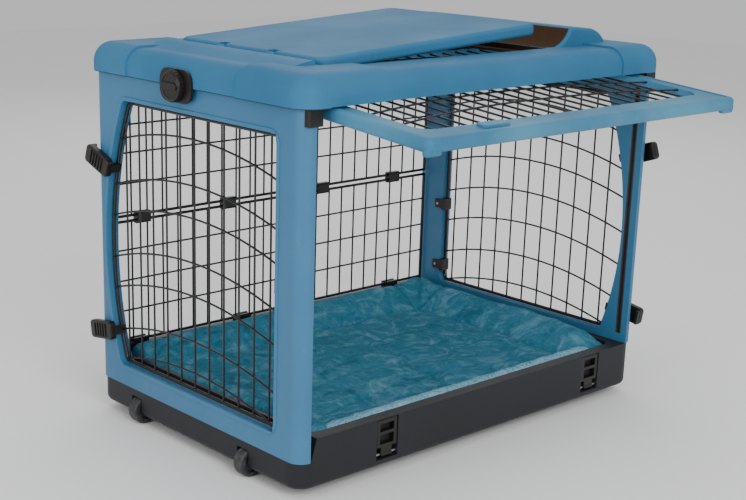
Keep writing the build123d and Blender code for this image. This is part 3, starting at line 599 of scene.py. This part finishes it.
class CRATE_OT_bed(bpy.types.Operator):
    """Makes the plush bed: crowned base, sewn channels and the stuffed slopes round three sides"""

    bl_idname = "crate.bed"
    bl_label = "Plush bed"
    bl_options = {"REGISTER", "UNDO"}

    def execute(self, context):
        deselect()
        bpy.ops.mesh.primitive_grid_add(x_subdivisions=BED_COLUMNS, y_subdivisions=BED_ROWS, size=1)
        piece = bpy.context.object
        piece.scale = (BED_HIGH.x - BED_LOW.x, BED_HIGH.y - BED_LOW.y, 1)
        bpy.ops.object.transform_apply(location=True, rotation=True, scale=True)
        bpy.ops.object.mode_set(mode="EDIT")
        bpy.ops.mesh.select_all(action="SELECT")
        bpy.ops.mesh.extrude_region_move(TRANSFORM_OT_translate={"value": (0, 0, -1)})
        bpy.ops.mesh.select_all(action="SELECT")
        bpy.ops.mesh.normals_make_consistent(inside=False)
        bpy.ops.object.mode_set(mode="OBJECT")
        # the lower sheet rests on the tray's floor, drawn in a little; the upper one is stuffed
        for vertex in piece.data.vertices:
            x, y, z = vertex.co
            if z < -0.5:
                vertex.co = (x * 0.985, y * 0.98, BED_LOW.z)
            else:
                vertex.co.z = bed_height(x, y, context.scene.crate_sizes)
        settle(piece, "plush_bed", "base", "plush pile")
        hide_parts("bed_pad")
        return {"FINISHED"}


class CRATE_OT_fleece_band(bpy.types.Operator):
    """Makes the curly fleece band along the bed's open front edge"""

    bl_idname = "crate.fleece_band"
    bl_label = "Fleece band"
    bl_options = {"REGISTER", "UNDO"}

    def execute(self, context):
        y, z = BED_LOW.y + 0.010, TRAY_TOP - 0.010
        start, finish = Vector((BED_LOW.x + 0.03, y, z)), Vector((BED_HIGH.x - 0.05, y, z))
        height = context.scene.crate_sizes.band_height / 2 + 0.004
        band = stuffed_roll("bed_fleece_band", start, finish, BAND_WIDTH, height, 31, "fleece")
        return {"FINISHED"}


class CRATE_OT_knob_rims(bpy.types.Operator):
    """Makes the ribbed rims and the dished rings of the two roof knobs"""

    bl_idname = "crate.knob_rims"
    bl_label = "Knob rims"
    bl_options = {"REGISTER", "UNDO"}

    def execute(self, context):
        for end, side in (("left", -1), ("right", 1)):
            low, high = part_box(f"{end}_roof_knob")
            y, z = (low.y + high.y) / 2, (low.z + high.z) / 2
            radius = (high.z - low.z) / 2
            face = low.x + KNOB_FACE_INSET if side < 0 else high.x - KNOB_FACE_INSET
            parts = []
            for step in range(RIB_COUNT):
                turn = 2 * pi * step / RIB_COUNT
                spot = (face - side * RIB_INSET, y + radius * cos(turn), z + radius * sin(turn))
                deselect()
                bpy.ops.mesh.primitive_cylinder_add(
                    vertices=10, radius=RIB_RADIUS, depth=RIB_LENGTH,
                    rotation=(0, pi / 2, 0), location=spot,
                )
                parts.append(bpy.context.object)
            deselect()
            bpy.ops.mesh.primitive_torus_add(
                location=(face - side * RING_INSET, y, z), rotation=(0, pi / 2, 0),
                major_segments=72, minor_segments=12,
                major_radius=radius * RING_SHARE, minor_radius=RING_RADIUS,
            )
            parts.append(bpy.context.object)
            settle(join(parts), f"{end}_knob_rim", f"{end}_knob", "black fitting")
        return {"FINISHED"}


class CRATE_OT_screws(bpy.types.Operator):
    """Makes the screw heads on the wire doors' hinge clips"""

    bl_idname = "crate.screws"
    bl_label = "Hinge screws"
    bl_options = {"REGISTER", "UNDO"}

    def execute(self, context):
        radius = context.scene.crate_sizes.screw_radius
        for end, side in (("left", -1), ("right", 1)):
            low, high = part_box(f"{end}_door_hinges")
            inner = high.x if side < 0 else low.x
            y = low.y + SCREW_FROM_SIDE if side < 0 else high.y - SCREW_FROM_SIDE
            heads = []
            for z in (low.z + SCREW_FROM_END, high.z - SCREW_FROM_END):
                deselect()
                bpy.ops.mesh.primitive_cylinder_add(
                    vertices=32, radius=radius, depth=SCREW_HEIGHT, rotation=(0, pi / 2, 0),
                    location=(inner - side * SCREW_HEIGHT / 2, y, z),
                )
                heads.append(bpy.context.object)
                roll_edges(SCREW_EDGE, 2)
            settle(join(heads), f"{end}_hinge_screws", "base", "pin steel")
        return {"FINISHED"}


class CRATE_OT_door_corners(bpy.types.Operator):
    """Makes the rolled corners that turn down at the outer end of the front door"""

    bl_idname = "crate.door_corners"
    bl_label = "Front door corners"
    bl_options = {"REGISTER", "UNDO"}

    def execute(self, context):
        low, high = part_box("front_door_frame")
        corners = []
        for start in (low.x, high.x - CORNER_LENGTH):
            corner = rounded_box(
                Vector((start, low.y + CORNER_FRONT, low.z - CORNER_DROP)),
                Vector((start + CORNER_LENGTH, low.y + CORNER_BACK, low.z + CORNER_RISE)),
                CORNER_ROLL, 4,
            )
            pick(corner)
            bpy.ops.transform.rotate(
                value=-DOOR_TILT, orient_axis="X", center_override=(0, low.y, low.z)
            )
            corners.append(corner)
        settle(join(corners), "front_door_corners", "front_door", "blue front door")
        return {"FINISHED"}


class CRATE_OT_stage(bpy.types.Operator):
    """Makes the pale floor, the soft studio lights and the camera"""

    bl_idname = "crate.stage"
    bl_label = "Stage"
    bl_options = {"REGISTER", "UNDO"}

    def execute(self, context):
        deselect()
        bpy.ops.mesh.primitive_plane_add(size=FLOOR_SIZE)
        floor = bpy.context.object
        floor.name = "floor"
        pale = Finish("pale floor").done(Base_Color=(0.93, 0.93, 0.93), Roughness=0.9)
        floor.data.materials.append(pale)
        scene = context.scene
        scene.world = bpy.data.worlds.new("studio")
        scene.world.use_nodes = True
        glow = scene.world.node_tree.nodes["Background"]
        glow.inputs["Color"].default_value = (1, 1, 1, 1)
        glow.inputs["Strength"].default_value = STUDIO_GLOW
        for name, place, power, width in LAMPS:
            lamp = bpy.data.lights.new(name, "AREA")
            lamp.energy = power
            lamp.size = width
            holder = bpy.data.objects.new(name, lamp)
            holder.location = place
            holder.rotation_euler = (LAMP_AIM - Vector(place)).to_track_quat("-Z", "Y").to_euler()
            scene.collection.objects.link(holder)
        lens = bpy.data.cameras.new("camera")
        lens.lens = CAMERA_LENS
        lens.shift_x, lens.shift_y = CAMERA_SHIFT
        lens.clip_end = 50
        camera = bpy.data.objects.new("camera", lens)
        camera.location = CAMERA_PLACE
        camera.rotation_euler = Euler([radians(turn) for turn in CAMERA_TURN])
        scene.collection.objects.link(camera)
        scene.camera = camera
        return {"FINISHED"}


class CRATE_PT_sidebar(bpy.types.Panel):
    """Lists the crate's pieces in the sidebar"""

    bl_idname = "CRATE_PT_sidebar"
    bl_label = "Dog crate"
    bl_space_type = "VIEW_3D"
    bl_region_type = "UI"
    bl_category = "Crate"

    def draw(self, context):
        for operator in OPERATORS:
            self.layout.operator(operator.bl_idname)
        for group in (context.scene.crate_sizes, context.scene.crate_colours):
            for key in group.__annotations__:
                self.layout.prop(group, key)


OPERATORS = (
    CRATE_OT_finishes,
    CRATE_OT_bed,
    CRATE_OT_fleece_band,
    CRATE_OT_knob_rims,
    CRATE_OT_screws,
    CRATE_OT_door_corners,
    CRATE_OT_stage,
)
CLASSES = (CrateColours, CrateSizes, *OPERATORS, CRATE_PT_sidebar)


def register():
    """Registers the classes and gives the scene its settings."""
    for item in CLASSES:
        bpy.utils.register_class(item)
    bpy.types.Scene.crate_sizes = bpy.props.PointerProperty(type=CrateSizes)
    bpy.types.Scene.crate_colours = bpy.props.PointerProperty(type=CrateColours)


def unregister():
    """Takes the scene's settings and the classes away again."""
    del bpy.types.Scene.crate_colours
    del bpy.types.Scene.crate_sizes
    for item in reversed(CLASSES):
        bpy.utils.unregister_class(item)


def main():
    """Makes every piece in order."""
    register()
    for operator in OPERATORS:
        group, name = operator.bl_idname.split(".")
        getattr(getattr(bpy.ops, group), name)()


if __name__ == "__main__":
    main()
